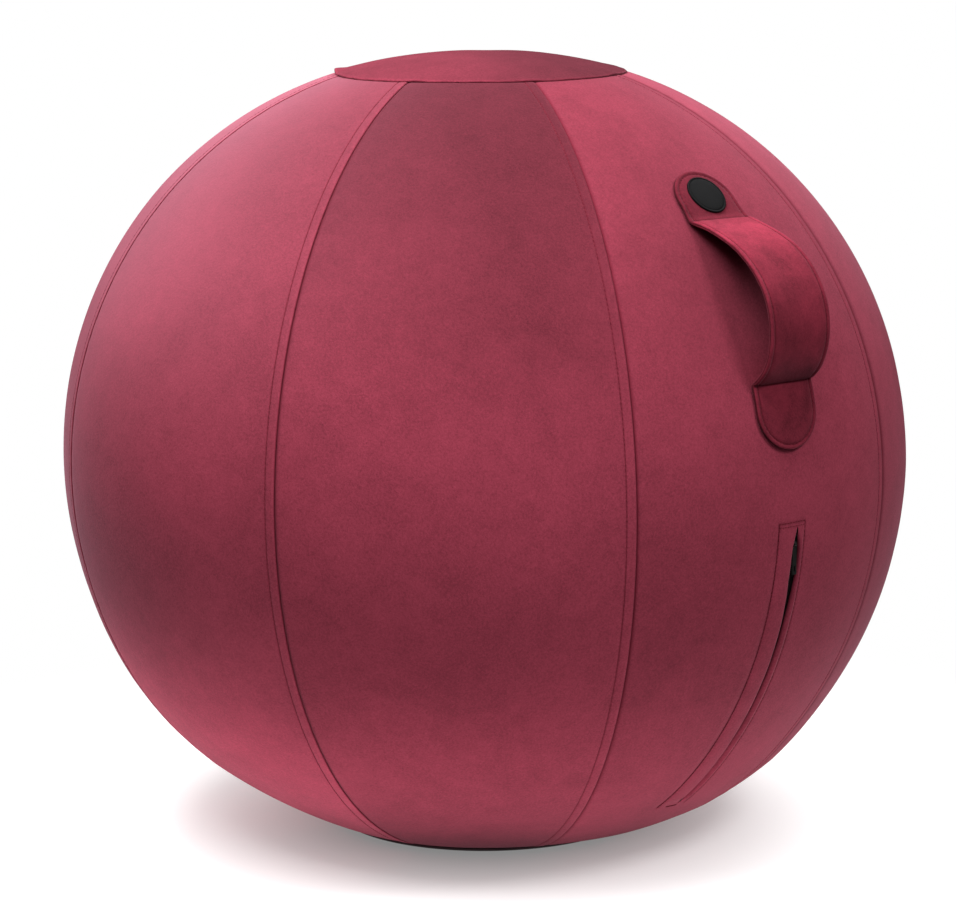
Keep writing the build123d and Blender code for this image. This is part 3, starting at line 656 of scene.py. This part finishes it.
P_LOOP = 2 * (n_side + 1) + 2 * (n_arc - 1)
sv, s_groove_shade, s_edge_highlight, s_light_and_shade = [], [], [], []
for i_ring, (d, h) in enumerate(RING):
    S, Y = strap_loop(d)
    face = i_ring < len(RING) // 2
    per = np.arange(P_LOOP) * 1.6
    sg = 1.0 if face else -1.0
    hh = h + 0 * S
    if abs(d - EDGE_ST) < 0.7:
        hh = hh - sg * 0.22 * np.abs(np.cos(PI * per / 3.2)) ** 4 * math.exp(-((d - EDGE_ST) / 0.5) ** 2)
    if d < 3:
        hh = hh + sg * 0.12 * wave(per, 31, 22.0) * (abs(h) > 0.3)
    # crease where the strap is sewn down at the folds
    fold = np.exp(-((S - q_uf - 1.0) / 1.4) ** 2) + np.exp(-((S - q_lf + 1.0) / 1.4) ** 2)
    if face:
        hh = hh - 0.7 * fold
        # soft padding of the loop: shallow dents along the face
        hh = hh + 0.35 * wave(S + 0.6 * Y, 91, 70.0) * smooth01(d / 8.0) * smooth01((S - q_uf) / 15) * smooth01((q_lf - S) / 15)
    wob = 0.35 * wave(S, 33, 60.0) * np.sign(Y) * (np.abs(Y) / R_END)
    # a little wider where it is sewn to the upper tab
    wob = wob + np.sign(Y) * np.abs(Y) / R_END * 1.6 * np.exp(-((S - q_uf) / 9.0) ** 2)
    sv.append(strap_map(S, Y + wob, hh))
    # painted shade at the edge stitches, in the sewn-down folds, along the strap's side and round the tabs where they
    # meet the cover; at the stitches partly the needle holes
    gr = math.exp(-((d - EDGE_ST) / 0.5) ** 2) * (0.3 + 0.45 * np.abs(np.cos(PI * per / 3.2)) ** 4)
    gr = np.maximum(gr, 0.85 * np.clip(fold, 0, 1))
    if abs(h) < 0.3:
        gr = np.maximum(gr, 0.8)
    on_tab = (S < q_uf - 1) | (S > q_lf + 1)
    if h <= 0.8:
        gr = np.maximum(gr, np.where(on_tab, 1.0, 0.0))
    s_groove_shade.append(gr)
    # painted highlight along the rolled edge of the face
    s_edge_highlight.append(np.full(P_LOOP, 1.0 if 0.3 < d < 1.6 and h > 0 else 0.0))
    # painted light and shade: lighter by the upper fold, darker down the loop, painted shade in the lower fold and on
    # the tabs, and the lining darker still
    s_light_and_shade.append(np.interp((S - q_uf) / (q_lf - q_uf), [-0.3, -0.02, 0.02, 0.1, 0.25, 0.42, 0.7, 0.88, 0.97, 1.03, 1.35],
                            [0.60, 0.56, 1.1, 1.35, 1.25, 0.95, 0.84, 0.80, 0.60, 0.74, 0.80]) * (1.0 if face else 0.8))
sv = np.concatenate(sv)
nr_ = len(RING)
sf = grid_faces(nr_, P_LOOP, wrap=True, flip=True)
B0 = n_side + 1 + (n_arc - 1)


def closing(start):
    """Close the middle of the face or the lining: pair the two sides and cap the round ends."""
    right = start + np.arange(n_side + 1)
    left = start + B0 + np.arange(n_side + 1)[::-1]
    quads = np.stack([right[:-1], left[:-1], left[1:], right[1:]], -1)
    lower = np.concatenate([[right[-1]], start + n_side + 1 + np.arange(n_arc - 1), [left[-1]]])
    upper = np.concatenate([[left[0]], start + B0 + n_side + 1 + np.arange(n_arc - 1), [right[0]]])
    return [quads, lower[None], upper[None]]


strap = make(
    "carry_strap", sv, [sf] + closing(0) + closing((nr_ - 1) * P_LOOP),
    {"groove_shade": np.concatenate(s_groove_shade), "light_and_nap_tone": np.concatenate(s_light_and_shade), "ridge_highlight": np.concatenate(s_edge_highlight), "rest": sv}, closed=True,
)

# topstitch along the strap's edge, on the face and on the lining of the loop
S, Y = strap_loop(EDGE_ST)
Sc, Yc = np.r_[S, S[0]], np.r_[Y, Y[0]]
cum = np.r_[0, np.cumsum(np.hypot(np.diff(Sc), np.diff(Yc)))]
n_st = int(cum[-1] / 3.2)
pos = (np.arange(n_st) + 0.5) * cum[-1] / n_st
Ss, Ys = np.interp(pos, cum, Sc), np.interp(pos, cum, Yc)
S2, Y2 = np.interp((pos + 0.5) % cum[-1], cum, Sc), np.interp((pos + 0.5) % cum[-1], cum, Yc)
w0 = 0.35 * wave(Ss, 33, 60.0) * np.sign(Ys) * (np.abs(Ys) / R_END) + np.sign(Ys) * np.abs(Ys) / R_END * 1.6 * np.exp(-((Ss - q_uf) / 9.0) ** 2)
sets = []
for sgn in (1, -1):
    ok = np.ones(n_st, bool) if sgn > 0 else (Ss > q_uf + 6) & (Ss < q_lf - 6)
    m0 = strap_map(Ss, Ys + w0, np.full(n_st, sgn * 1.12))
    m1 = strap_map(S2, Y2 + w0, np.full(n_st, sgn * 1.12))
    up_ = strap_map(Ss, Ys + w0, np.full(n_st, sgn * 2.12)) - m0
    sets.append((m0[ok], (m1 - m0)[ok], up_[ok]))
# rows of stitches across the strap at both folds
for qf, dq in ((q_uf, 0.8), (q_lf, -0.8)):
    yy = np.arange(-22.0, 22.1, 3.2)
    ss_ = np.full(len(yy), qf + dq)
    m0 = strap_map(ss_, yy, np.full(len(yy), 1.25))
    m1 = strap_map(ss_, yy + 0.5, np.full(len(yy), 1.25))
    up_ = strap_map(ss_, yy, np.full(len(yy), 2.25)) - m0
    sets.append((m0, m1 - m0, up_))
strap_thread = stitch_mesh("strap_stitch", sets, length=2.5, rad=0.26, attrs=True)
for ob in (strap, strap_thread):
    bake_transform(ob)
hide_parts("handle_tab_upper", "handle_tab_lower", "handle_leg_upper", "handle_leg_lower",
            "handle_grip_face", "handle_grip_lining", "handle_grip_webbing")

# ------------------------------------------------------------------ badge, bare
BADGE_A = 42.9
S_B = (math.radians(UP_TIP - BADGE_A)) * (ARC_R + LIFT)
b_rings = [(0.0, 1.25), (3, 1.25), (6, 1.25), (9, 1.25), (11.5, 1.25), (13.2, 1.25), (13.6, 1.2), (13.9, 1.05), (14.2, 1.0), (14.5, 1.1),
           (14.8, 1.3), (15.2, 1.36), (15.6, 1.3), (15.9, 1.05), (16.0, 0.7), (16.0, 0.1), (15.6, -0.2)]


def badge_put(rr, ph, h):
    return strap_map(S_B - rr * np.cos(ph), rr * np.sin(ph) - 0.4, 1.9 + h + 0 * rr)


vv, ff = polar(b_rings, 96, badge_put)
badge = make("badge_disc", vv, [f[:, ::-1] for f in ff])
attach(badge, "ball")
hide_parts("badge")


# ------------------------------------------------------------------ zip: stitching and coil
def zip_point(s, a, h):
    """Point of the zip gore at arc length s, a mm across from the zip's middle, h mm off the cover."""
    r, z, nr, nz = merid(s)
    phi = ZIP_AZ + a / r
    h = h + cover_swell(phi, z)
    return np.stack([(r + h * nr) * np.cos(phi), (r + h * nr) * np.sin(phi), z + h * nz], -1)


def zip_row(s, a, ds, da, h):
    s, a = np.broadcast_arrays(np.asarray(s, float), np.asarray(a, float))
    m0 = zip_point(s, a, h)
    return (m0, zip_point(s + ds, a + da, h) - m0, zip_point(s, a, h + 1.0) - m0)


zt = np.arange(BARS[0] + 1.6, S_BOT + 2.0, 3.2)
sets = [zip_row(zt, sgn * BOX[sgn], 0.5, 0.0, -0.2) for sgn in (-1, 1)]
sets += [zip_row(pos, np.arange(-BOX[-1] + 1.0, BOX[1] - 0.5, 2.7), 0.0, 0.5, -0.16) for pos in BARS]
sets += [zip_row(pos, np.arange(-9.0, 0.5, 1.4), 0.0, 0.5, 0.05) for pos in (S_BOT + 0.8, S_BOT + 1.4, S_BOT + 2.0)]
zip_thread = stitch_mesh("zip_stitch", sets, length=2.5, rad=0.26)
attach(zip_thread, "ball")

# nylon coil: one bent loop per tooth on each tape edge
CHAIN = 298.0
th_top, th_bot = -6.3 + math.degrees(6.5 / CHAIN) + 0.1, -6.3 - 41.0 - math.degrees(6.5 / CHAIN) - 0.1
n_tooth = int(math.radians(th_top - th_bot) * CHAIN / 1.5)
cz, sz = math.cos(ZIP_AZ), math.sin(ZIP_AZ)
turn = np.array([[cz, -sz, 0], [sz, cz, 0], [0, 0, 1]])
for sgn, word in ((-1, "left"), (1, "right")):
    th = np.radians(th_top - 0.1) - (np.arange(n_tooth) + (0.5 if sgn > 0 else 0.0)) * 1.5 / CHAIN
    m = np.stack([ARC_OFF + (CHAIN + 1.2) * np.cos(th), np.full(n_tooth, sgn * 1.95), EQ_Z + (CHAIN + 1.2) * np.sin(th)], -1)
    nn = np.stack([np.cos(th), np.zeros(n_tooth), np.sin(th)], -1)
    al = np.stack([np.zeros(n_tooth), np.full(n_tooth, float(sgn)), np.zeros(n_tooth)], -1)
    coil = stitch_mesh("zip_coil_loops_" + word, [(m @ turn.T, al @ turn.T, nn @ turn.T)], length=2.6, rad=0.62, sink=-0.12)
    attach(coil, "ball")
    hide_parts("zip_coil_" + word)


# ------------------------------------------------------------------ materials
def nodes_of(name):
    m = bpy.data.materials.new(name)
    m.use_nodes = True
    nt = m.node_tree
    return m, nt, nt.nodes["Principled BSDF"]


def link(nt, a, b):
    nt.links.new(a, b)


def node(nt, kind, **kw):
    n = nt.nodes.new(kind)
    for k, v in kw.items():
        setattr(n, k, v)
    return n


def mathn(nt, op, a=None, b=None, c=None, clamp=False):
    n = node(nt, "ShaderNodeMath", operation=op)
    n.use_clamp = clamp
    for i, x in enumerate((a, b, c)):
        if x is None:
            continue
        if isinstance(x, (int, float)):
            n.inputs[i].default_value = x
        else:
            link(nt, x, n.inputs[i])
    return n.outputs[0]


def noise(nt, vec, scale, detail=3.0, rough=0.55, dist=0.0):
    n = node(nt, "ShaderNodeTexNoise")
    n.inputs["Scale"].default_value = scale
    n.inputs["Detail"].default_value = detail
    n.inputs["Roughness"].default_value = rough
    n.inputs["Distortion"].default_value = dist
    link(nt, vec, n.inputs["Vector"])
    return n.outputs[0]


def ramp(nt, fac, stops):
    n = node(nt, "ShaderNodeValToRGB")
    el = n.color_ramp.elements
    while len(el) > 1:
        el.remove(el[-1])
    el[0].position, el[0].color = stops[0][0], (*stops[0][1], 1)
    for p_, c_ in stops[1:]:
        e = el.new(p_)
        e.color = (*c_, 1)
    link(nt, fac, n.inputs[0])
    return n.outputs[0]


def tinted(nt, col, v):
    """Base colour times a grey value."""
    mix = node(nt, "ShaderNodeMix", data_type="RGBA", blend_type="MULTIPLY")
    mix.inputs[0].default_value = 1.0
    mix.inputs[6].default_value = (*col, 1)
    comb = node(nt, "ShaderNodeCombineColor")
    for i in range(3):
        link(nt, v, comb.inputs[i])
    link(nt, comb.outputs[0], mix.inputs[7])
    return mix.outputs[2]


def velvet(name, col, mottle=0.14, use_rest=False, sheen=0.2, attr=True, grain=1.0, groove_shade_col=(0.135, 0.009, 0.021)):
    m, nt, b = nodes_of(name)
    if use_rest:
        tc = node(nt, "ShaderNodeAttribute", attribute_name="rest").outputs["Vector"]
    else:
        tc = node(nt, "ShaderNodeTexCoord").outputs["Object"]
    broad = noise(nt, tc, 24.0 if use_rest else 9.0, 3.0, 0.5, 0.6)            # patches of brushed nap
    mid = noise(nt, tc, 80.0 if use_rest else 60.0, 4.0, 0.6, 0.4)
    fine = noise(nt, tc, 640.0, 3.0, 0.65)
    pile = noise(nt, tc, 1500.0, 2.0, 0.6)
    v = mathn(nt, "MULTIPLY_ADD", mathn(nt, "SUBTRACT", broad, 0.5), mottle * 2.4, 1.0)
    v = mathn(nt, "MULTIPLY_ADD", mathn(nt, "SUBTRACT", mid, 0.5), mottle * 1.8, v)
    crush = noise(nt, tc, 190.0, 4.0, 0.62, 1.6)                              # small creases left in the pile
    v = mathn(nt, "MULTIPLY_ADD", mathn(nt, "SUBTRACT", crush, 0.5), 0.34 * grain, v)
    v = mathn(nt, "MULTIPLY_ADD", mathn(nt, "SUBTRACT", fine, 0.5), 0.8 * grain, v)
    v = mathn(nt, "MULTIPLY_ADD", mathn(nt, "SUBTRACT", pile, 0.5), 0.6 * grain, v)
    if attr:
        light_and_nap_tone = node(nt, "ShaderNodeAttribute", attribute_name="light_and_nap_tone").outputs["Fac"]
        groove_shade = node(nt, "ShaderNodeAttribute", attribute_name="groove_shade").outputs["Fac"]
        ridge_highlight = node(nt, "ShaderNodeAttribute", attribute_name="ridge_highlight").outputs["Fac"]
        # painted light and shade from the per-vertex attribute, partly the nap
        v = mathn(nt, "MULTIPLY", v, light_and_nap_tone)
        # painted highlight on ridges and rolled edges
        v = mathn(nt, "MULTIPLY", v, mathn(nt, "MULTIPLY_ADD", ridge_highlight, 0.10, 1.0))
    out = tinted(nt, col, v)
    if attr:
        # painted sheen: light pink mixed into the colour where the sheen share is set
        up = node(nt, "ShaderNodeMix", data_type="RGBA")
        link(nt, node(nt, "ShaderNodeAttribute", attribute_name="painted_sheen_share").outputs["Fac"], up.inputs[0])
        link(nt, out, up.inputs[6])
        up.inputs[7].default_value = (0.60, 0.24, 0.32, 1)
        out = up.outputs[2]
        # painted shade: dark red mixed in along grooves, gaps and edges
        groove_shade_mix = node(nt, "ShaderNodeMix", data_type="RGBA")
        link(nt, mathn(nt, "MULTIPLY", groove_shade, 0.9, clamp=True), groove_shade_mix.inputs[0])
        link(nt, out, groove_shade_mix.inputs[6])
        groove_shade_mix.inputs[7].default_value = (*groove_shade_col, 1)
        out = groove_shade_mix.outputs[2]
    link(nt, out, b.inputs["Base Color"])
    b.inputs["Roughness"].default_value = 0.95
    b.inputs["Specular IOR Level"].default_value = 0.1
    b.inputs["Sheen Weight"].default_value = sheen
    b.inputs["Sheen Roughness"].default_value = 0.42
    b.inputs["Sheen Tint"].default_value = (1.0, 0.60, 0.74, 1)
    bump = node(nt, "ShaderNodeBump")
    bump.inputs["Strength"].default_value = 0.35
    bump.inputs["Distance"].default_value = 0.0006
    link(nt, mathn(nt, "MULTIPLY_ADD", crush, 0.9, mathn(nt, "MULTIPLY_ADD", fine, 0.7, mathn(nt, "MULTIPLY", pile, 0.4))), bump.inputs["Height"])
    link(nt, bump.outputs[0], b.inputs["Normal"])
    return m


BURGUNDY = (0.300, 0.040, 0.069)
m_velvet = velvet("velvet_burgundy", BURGUNDY, mottle=0.21, sheen=0.13)
m_light = velvet("velvet_nap_up", BURGUNDY, mottle=0.21, sheen=0.18)
m_dark = velvet("velvet_nap_down", BURGUNDY, mottle=0.21, sheen=0.14)
m_cap = velvet("velvet_cap", BURGUNDY, mottle=0.22, sheen=0.08)
m_strap = velvet("velvet_strap", (0.215, 0.021, 0.040), mottle=0.46, use_rest=True, sheen=0.11, groove_shade_col=(0.060, 0.003, 0.008))
m_thread = velvet("thread_burgundy", (0.175, 0.017, 0.031), mottle=0.05, sheen=0.1, attr=False)
m_thread_z = velvet("thread_zip", (0.120, 0.008, 0.017), mottle=0.05, sheen=0.1, attr=False)
m_thread_s = velvet("thread_strap", (0.130, 0.010, 0.020), mottle=0.05, use_rest=True, sheen=0.1, attr=False)


def plastic(name, col, rough, bump_scale=900.0, bump=0.1, metal=0.0, var=0.12, spec=0.5):
    m, nt, b = nodes_of(name)
    tc = node(nt, "ShaderNodeTexCoord").outputs["Object"]
    f1 = noise(nt, tc, bump_scale, 3.0)
    f2 = noise(nt, tc, bump_scale / 12, 3.0)
    v = mathn(nt, "MULTIPLY_ADD", mathn(nt, "SUBTRACT", f2, 0.5), var * 2, 1.0)
    link(nt, tinted(nt, col, v), b.inputs["Base Color"])
    rv = mathn(nt, "MULTIPLY_ADD", mathn(nt, "SUBTRACT", f2, 0.5), 0.25, rough, clamp=True)
    link(nt, rv, b.inputs["Roughness"])
    b.inputs["Metallic"].default_value = metal
    b.inputs["Specular IOR Level"].default_value = spec
    bp = node(nt, "ShaderNodeBump")
    bp.inputs["Strength"].default_value = bump
    bp.inputs["Distance"].default_value = 0.0003
    link(nt, f1, bp.inputs["Height"])
    link(nt, bp.outputs[0], b.inputs["Normal"])
    return m


def weave(name, col, pitch_m, rough=0.85):
    m, nt, b = nodes_of(name)
    tc = node(nt, "ShaderNodeTexCoord").outputs["Object"]
    waves = []
    for d in ("X", "Z"):
        w = node(nt, "ShaderNodeTexWave", wave_type="BANDS", bands_direction=d)
        w.inputs["Scale"].default_value = 0.314 / pitch_m
        w.inputs["Distortion"].default_value = 0.4
        link(nt, tc, w.inputs["Vector"])
        waves.append(w.outputs["Fac"])
    h = mathn(nt, "MULTIPLY", waves[0], waves[1])
    c = ramp(nt, h, [(0.0, tuple(x * 0.45 for x in col)), (0.6, col), (1.0, tuple(min(1, x * 1.5) for x in col))])
    link(nt, c, b.inputs["Base Color"])
    b.inputs["Roughness"].default_value = rough
    bp = node(nt, "ShaderNodeBump")
    bp.inputs["Strength"].default_value = 0.5
    bp.inputs["Distance"].default_value = 0.0003
    link(nt, h, bp.inputs["Height"])
    link(nt, bp.outputs[0], b.inputs["Normal"])
    return m


m_base = weave("base_coated_cloth", (0.042, 0.012, 0.017), 0.0011, 0.7)
m_dots = plastic("base_rubber_dots", (0.020, 0.020, 0.021), 0.6)
m_badge = plastic("badge_black", (0.0032, 0.0032, 0.0036), 0.5, 700.0, 0.25, spec=0.07)
m_tape = weave("zip_tape_weave", (0.030, 0.008, 0.011), 0.0006)
m_coil = plastic("zip_nylon", (0.012, 0.012, 0.013), 0.45)
m_metal = plastic("zip_black_metal", (0.060, 0.060, 0.056), 0.34, 500.0, 0.12, metal=0.75)
m_pvc = plastic("bladder_vinyl", (0.30, 0.31, 0.33), 0.5, 260.0, 0.2)
m_plug = plastic("valve_plug_plastic", (0.78, 0.78, 0.76), 0.4)


def paint(ob, mat):
    ob.data.materials.clear()
    ob.data.materials.append(mat)


for k, ob in enumerate(gores):
    paint(ob, {6: m_light, 5: m_light, 7: m_dark, 3: m_dark}.get(k, m_velvet))
paint(top_cap, m_cap)
for word in ("left", "right"):
    paint(bpy.data.objects["zip_coil_loops_" + word], m_coil)
paint(strap, m_strap)
paint(strap_thread, m_thread_s)
paint(seam_thread, m_thread)
paint(zip_thread, m_thread_z)
paint(base, m_base)
paint(base_thread, m_dots)
paint(dots, m_dots)
paint(badge, m_badge)


def node_paint(name, mat):
    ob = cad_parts[name]
    for sl in ob.material_slots:
        sl.material = mat
    if not ob.material_slots:
        ob.data.materials.append(mat)


for nme in ("zip_tape_left", "zip_tape_right"):
    node_paint(nme, m_tape)
for nme in ("zip_top_stops", "zip_bottom_stop", "zip_slider", "zip_pull"):
    node_paint(nme, m_metal)
node_paint("bladder", m_pvc)
node_paint("valve_plug", m_plug)
for nme in ("zip_slider", "zip_pull"):
    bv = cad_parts[nme].modifiers.new("edge", "BEVEL")
    bv.width = 0.00018
    bv.segments = 2
    bv.limit_method = "ANGLE"

# ------------------------------------------------------------------ floor, light, camera
fr = [0.0, 150, 300, 450, 600, 750, 900, 1050]
fv, ff = polar([(x, 0) for x in fr], 96, lambda rr, ph, h: np.stack([rr * np.cos(ph), rr * np.sin(ph), np.zeros_like(rr) - 0.05], -1))
floor = make("studio_floor", fv, ff)
m_floor, nt, b = nodes_of("studio_floor_white")
b.inputs["Base Color"].default_value = (0.58, 0.58, 0.58, 1)
# the floor glows white and throws light up under the ball, as a lamp would
b.inputs["Emission Color"].default_value = (1, 1, 1, 1)
b.inputs["Emission Strength"].default_value = 0.84
b.inputs["Roughness"].default_value = 0.9
b.inputs["Specular IOR Level"].default_value = 0.1
tc = node(nt, "ShaderNodeTexCoord").outputs["Object"]
ln = node(nt, "ShaderNodeVectorMath", operation="LENGTH")
link(nt, tc, ln.inputs[0])
mr = node(nt, "ShaderNodeMapRange", interpolation_type="SMOOTHSTEP")
mr.inputs["From Min"].default_value = 0.30
mr.inputs["From Max"].default_value = 0.64
mr.inputs["To Min"].default_value = 1.0
mr.inputs["To Max"].default_value = 0.0
link(nt, ln.outputs["Value"], mr.inputs["Value"])
link(nt, mr.outputs["Result"], b.inputs["Alpha"])
# painted shadow: the floor's light is dimmed under the ball
glow_and_shadow = node(nt, "ShaderNodeMapRange", interpolation_type="SMOOTHSTEP")          # darker under the ball
glow_and_shadow.inputs["From Min"].default_value = 0.10
glow_and_shadow.inputs["From Max"].default_value = 0.34
glow_and_shadow.inputs["To Min"].default_value = 0.22
glow_and_shadow.inputs["To Max"].default_value = 0.90
link(nt, ln.outputs["Value"], glow_and_shadow.inputs["Value"])
link(nt, glow_and_shadow.outputs["Result"], b.inputs["Emission Strength"])
paint(floor, m_floor)

scene = bpy.context.scene
scene.view_settings.view_transform = "Standard"
scene.view_settings.look = "None"
world = bpy.data.worlds.new("studio")
scene.world = world
world.use_nodes = True
wn = world.node_tree
bg = wn.nodes["Background"]
geo = node(wn, "ShaderNodeTexCoord").outputs["Generated"]
sep = node(wn, "ShaderNodeSeparateXYZ")
link(wn, geo, sep.inputs[0])
grad = ramp(wn, mathn(wn, "MULTIPLY_ADD", sep.outputs["Z"], 0.5, 0.5), [
    (0.0, (0.02, 0.02, 0.02)), (0.48, (0.02, 0.02, 0.02)), (0.675, (0.06, 0.06, 0.06)), (0.85, (0.04, 0.04, 0.04)), (1.0, (0.03, 0.03, 0.03))])
link(wn, grad, bg.inputs["Color"])
bg.inputs["Strength"].default_value = 1.0
white = node(wn, "ShaderNodeBackground")
white.inputs["Color"].default_value = (1, 1, 1, 1)
white.inputs["Strength"].default_value = 1.0
lp = node(wn, "ShaderNodeLightPath")
mx = node(wn, "ShaderNodeMixShader")
link(wn, lp.outputs["Is Camera Ray"], mx.inputs[0])
link(wn, bg.outputs[0], mx.inputs[1])
link(wn, white.outputs[0], mx.inputs[2])
link(wn, mx.outputs[0], wn.nodes["World Output"].inputs["Surface"])


def area(name, loc, aim, size, power):
    la = bpy.data.lights.new(name, "AREA")
    la.shape = "RECTANGLE"
    la.size, la.size_y = size
    la.energy = power
    ob = bpy.data.objects.new(name, la)
    scene.collection.objects.link(ob)
    ob.location = loc
    ob.rotation_euler = (Vector(aim) - Vector(loc)).to_track_quat("-Z", "Y").to_euler()
    return ob


cam_az = math.radians(49.0)
cdir = Vector((math.sin(cam_az), -math.cos(cam_az), 0))        # towards the camera
cright = Vector((math.cos(cam_az), math.sin(cam_az), 0))       # to the right in the picture


def soft(name, az, el, size, power, dist=2.6):
    """Softbox at an azimuth and elevation, seen from the camera's side, aimed at the ball."""
    a, e = math.radians(az), math.radians(el)
    d = (cdir * math.cos(a) + cright * math.sin(a)) * math.cos(e) + Vector((0, 0, math.sin(e)))
    c = Vector((0, 0, 0.3))
    area(name, c + d * dist, c, (size, size), power)


soft("left_soft", -38, 56, 1.2, 55)
soft("right_soft", 50, 42, 0.6, 27)
soft("rim_soft", -100, 74, 1.2, 47)
soft("back_soft", 125, 55, 1.2, 18)
soft("front_fill", 14, 24, 1.4, 11)

CENTRE = Vector((0, 0, 0.294))
EL, DIST, ROLL, F_PX = math.radians(9.38), 2.407, math.radians(-0.56), 3092.0
pos = CENTRE + DIST * (cdir * math.cos(EL) + Vector((0, 0, math.sin(EL))))
fwd = (CENTRE - pos).normalized()
r0 = fwd.cross(Vector((0, 0, 1))).normalized()
u0 = r0.cross(fwd)
rt = r0 * math.cos(ROLL) + u0 * math.sin(ROLL)
upv = -r0 * math.sin(ROLL) + u0 * math.cos(ROLL)
fwd = (fwd - rt * (6.3 / F_PX) - upv * (13.3 / F_PX)).normalized()
rt = (rt - fwd * rt.dot(fwd)).normalized()
upv = rt.cross(fwd)
cam_d = bpy.data.cameras.new("camera")
cam_d.sensor_width = 36.0
cam_d.sensor_fit = "HORIZONTAL"
cam_d.lens = F_PX * 36.0 / 957.0
cam_d.clip_start, cam_d.clip_end = 0.05, 100
cam = bpy.data.objects.new("camera", cam_d)
scene.collection.objects.link(cam)
cam.matrix_world = Matrix((
    (rt.x, upv.x, -fwd.x, pos.x), (rt.y, upv.y, -fwd.y, pos.y), (rt.z, upv.z, -fwd.z, pos.z), (0, 0, 0, 1),
))
scene.camera = cam
